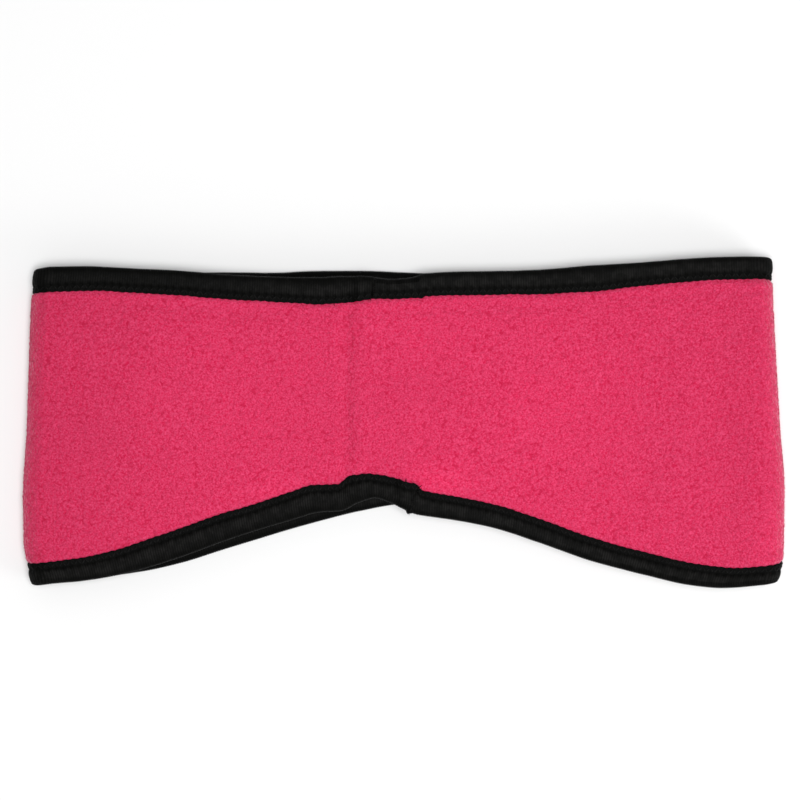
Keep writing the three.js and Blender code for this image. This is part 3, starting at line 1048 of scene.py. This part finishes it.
def make_thread_material():
    """Twisted black thread, a little glossier than the tape."""
    material, tree, shader = new_material("black_thread")
    yarns = place_group(material, ribbed_yarns, yarns_per_metre=6000.0)
    dyed = tint_node(tree, yarns.outputs["Wear"], tape_black, thread_rubbed)
    tree.links.new(dyed, shader.inputs["Base Color"])
    set_inputs(shader, {"Roughness": 0.5, "Specular IOR Level": 0.1})
    add_relief(tree, shader, yarns.outputs["Height"], strength=0.4, distance=0.05 * mm)
    return material


thread_material = make_thread_material()


def tube_faces(runs, points, sides):
    """Faces of closed tubes, each with the same number of points along it."""
    ring = np.arange(sides)
    beside = (ring + 1) % sides
    wall = np.stack([ring, beside, sides + beside, sides + ring], axis=1)
    walls = wall + np.arange(points - 1)[:, None, None] * sides
    starts = np.arange(runs)[:, None, None] * points * sides
    wall_faces = (walls.reshape(1, -1, 4) + starts).reshape(-1, 4).tolist()
    ends = [list(ring[::-1]), list((points - 1) * sides + ring)]
    end_faces = [[int(start) + int(v) for v in end] for start in starts.ravel() for end in ends]
    return wall_faces + end_faces


def make_tubes(name, lines, outs, halves):
    """Closed tubes of thread round lines, each with its way out of the tape at every point, and
    with its half thickness there."""
    tangent = unit(np.gradient(lines, axis=1))
    side = unit(np.cross(tangent, outs))
    rise = np.cross(side, tangent)
    turns = np.arange(thread_sides) * 2 * math.pi / thread_sides
    wheel = np.cos(turns)[:, None] * side[..., None, :] + np.sin(turns)[:, None] * rise[..., None, :]
    points = lines[..., None, :] + halves[..., None, None] * wheel
    faces = tube_faces(len(lines), lines.shape[1], thread_sides)
    piece = make_piece(name, points, faces, thread_material)
    return piece


def on_tape(loop, beyond, edge, side):
    """Places on a tape's face, a distance beyond its inner edge, and the way out of the face."""
    _, _, along, upper, *_ = section_at(loop)
    up = up_from(loop, edge, leg_of(loop, edge) - beyond)
    out = side * frames_of(loop, up)[0]
    lap = lap_thick * lap_steps(along, beyond / slant_width, edge, upper)
    high = tape_inside + tape_thick * tape_face_curve(beyond / mm) + (lap if side > 0 else 0)
    return middle_of(loop, up) + out * high[..., None], out


def make_stitches(name, edge):
    """The zigzag on one tape, on its outer leg and on its inner leg."""
    quarter = spaced_round(edge, lambda loop: np.full_like(loop, stitch_step / 4))
    count = len(quarter[0]) // 8 * 2  # stitches, an even number of them
    hole_length = np.arange(count + 1) * stitch_step
    hole_loop = np.interp(hole_length, np.append(quarter[1], quarter[2]), np.append(quarter[0], 4.0))
    beyond = np.where(np.arange(count + 1) % 2 == 0, stitch_far, stitch_near)
    share = np.linspace(0, 1, len(stitch_bow))
    loop = mix(hole_loop[:-1, None], hole_loop[1:, None], share)
    inward = mix(beyond[:-1, None], beyond[1:, None], share)
    lines = []
    outs = []
    for side in (1, -1):
        face, out = on_tape(loop, inward, edge, side)
        line = face + out * (thread_half * stitch_bow)[:, None]
        line[..., 2] = np.maximum(line[..., 2], thread_half)
        lines.append(line)
        outs.append(out)
    lines = np.concatenate(lines)
    return make_tubes(name, lines, np.concatenate(outs), np.full(lines.shape[:2], thread_half))


upper_stitches = make_stitches("upper_stitches", 1)
lower_stitches = make_stitches("lower_stitches", 0)

# Loose ends. The thread tails and the frayed yarns at the cut end of each tape's lap, which stick
# out past the tape's edges by about a millimetre.
fray_seed = 7
frays_each = 40
fray_half = 0.06 * mm
fray_length = (0.5 * mm, 1.3 * mm)
fray_spread = 40  # degrees to each side of the cut's outward way
fray_inset = 0.0005  # how far inside the cut the yarns start, as a share of half the flat width
fray_start = 0.2 * mm  # from the tape's inner edge to the first yarn
fray_reach = 6.3 * mm  # and from there to the last one
end_points = 6  # along each loose end
end_curl = 0.7  # radians
end_arch = 0.3 * mm
arch_share = 0.8  # how much of a full arch it makes
root_deep = 0.12 * mm
tip_droop = 0.35 * mm
tip_share = 0.05  # of a yarn's section, left at its tip

# Thread tails, with along as a share of half the flat width, beyond and length in millimetres,
# and heading as degrees round from the right.
thread_tails = columns("edge along beyond heading length", [
    (0, 0.0055, 1.5, 84, 2.9),
    (0, 0.0035, 1.1, 70, 2.0),
    (0, 0.037, 0.8, 30, 1.6),
    (0, 0.0235, 6.2, -108, 3.7),
    (0, 0.021, 6.2, -98, 3.9),
    (0, 0.0165, 6.3, -80, 3.6),
    (1, -0.09, 1.0, -70, 1.7),
    (1, -0.186, 0.8, -100, 1.9),
    (1, -0.19, 0.9, -65, 1.6),
])


def loose_ends(edge, along, beyond, heading, length, half, random):
    """Thin yarn ends that start on a tape's face, curl a little and taper to their tips."""
    loop = (5 - along * half_width / (half_width - fold_depth)) / 2
    start, out = on_tape(loop, beyond, edge, 1)
    share = np.linspace(0, 1, end_points)
    curl = random.uniform(-end_curl, end_curl, (len(along), 1))
    turn = np.radians(heading)[:, None] + curl * share
    step = np.stack([np.cos(turn), np.sin(turn), np.zeros_like(turn)], axis=-1)
    path = np.cumsum(step, axis=1) / len(share)
    height = end_arch * np.sin(math.pi * arch_share * share) - root_deep - tip_droop * share**2
    line = start[:, None] + path * length[:, None, None] + height[:, None] * [0, 0, 1]
    halves = half * np.sqrt(1 + tip_share - share) * np.ones((len(along), 1))
    return line, np.broadcast_to(out[:, None], line.shape), halves


def make_loose_ends(name, edge):
    """The thread tails of one tape, and the frayed yarns along its lap's cut end."""
    random = np.random.default_rng(fray_seed + edge)
    mine = thread_tails["edge"] == edge
    tails = [thread_tails[key][mine] for key in ("along", "beyond", "heading", "length")]
    tail = loose_ends(edge, tails[0], tails[1] * mm, tails[2], tails[3] * mm, thread_half, random)
    across = random.random(frays_each)
    along = laps["end"][edge] - fray_inset + laps["slant"][edge] * across
    beyond = fray_start + fray_reach * across
    heading = random.uniform(-fray_spread, fray_spread, frays_each)
    length = random.uniform(*fray_length, frays_each)
    fray = loose_ends(edge, along, beyond, heading, length, fray_half, random)
    lines, outs, halves = (np.concatenate(pair) for pair in zip(tail, fray))
    return make_tubes(name, lines, outs, halves)


upper_loose_ends = make_loose_ends("upper_loose_ends", 1)
lower_loose_ends = make_loose_ends("lower_loose_ends", 0)

# Floor and light. A white table top under a broad soft light, a little to the right of overhead,
# with pale walls all round.
floor_half = 1.5
table_white = (0.85, 0.85, 0.85, 1.0)
room_white = (1.0, 1.0, 1.0, 1.0)
room_strength = 0.32


def make_floor():
    """A wide table top, which isn't part of the band."""
    material, tree, shader = new_material("white_table")
    set_inputs(shader, {"Base Color": table_white, "Roughness": 0.9})
    mesh = bpy.data.meshes.new("studio_floor")
    corners = [(-floor_half, -floor_half, 0), (floor_half, -floor_half, 0)]
    corners += [(floor_half, floor_half, 0), (-floor_half, floor_half, 0)]
    mesh.from_pydata(corners, [], [(0, 1, 2, 3)])
    mesh.materials.append(material)
    floor = bpy.data.objects.new("studio_floor", mesh)
    bpy.context.collection.objects.link(floor)


def add_light(name, place, size, power):
    """A square softbox that faces the middle of the band."""
    light = bpy.data.lights.new(name, "AREA")
    light.shape = "SQUARE"
    light.size = size
    light.energy = power
    lamp = bpy.data.objects.new(name, light)
    lamp.location = place
    lamp.rotation_euler = Vector(place).to_track_quat("Z", "Y").to_euler()
    lamp.visible_camera = False
    bpy.context.collection.objects.link(lamp)


make_floor()
add_light("overhead_softbox", place=(0.1, -0.12, 1.9), size=0.7, power=31.0)
add_light("side_softbox", place=(0.55, -0.3, 0.22), size=0.3, power=1.35)
world = bpy.data.worlds.new("pale_room")
bpy.context.scene.world = world
world.use_nodes = True
set_inputs(world.node_tree.nodes["Background"], {"Color": room_white, "Strength": room_strength})
bpy.context.scene.view_settings.view_transform = "Standard"

# Camera. Straight above the band, as the photo was taken, with the band a little low in the frame.
# It is far enough away that the folds look no larger than the edges on the table.
metres_per_pixel = 0.328 * mm  # at half the band's height
frame_pixels = 800
band_middle_pixel = (403.5, 422.0)
camera_height = 1.2
film_width = 36.0  # millimetres

camera_data = bpy.data.cameras.new("camera")
camera_data.sensor_width = film_width
view_distance = camera_height - cad_bounds[1].z / 2
camera_data.lens = film_width * view_distance / (frame_pixels * metres_per_pixel)
camera = bpy.data.objects.new("camera", camera_data)
camera.location = (
    (frame_pixels / 2 - band_middle_pixel[0]) * metres_per_pixel,
    (band_middle_pixel[1] - frame_pixels / 2) * metres_per_pixel,
    camera_height,
)
bpy.context.collection.objects.link(camera)
bpy.context.scene.camera = camera
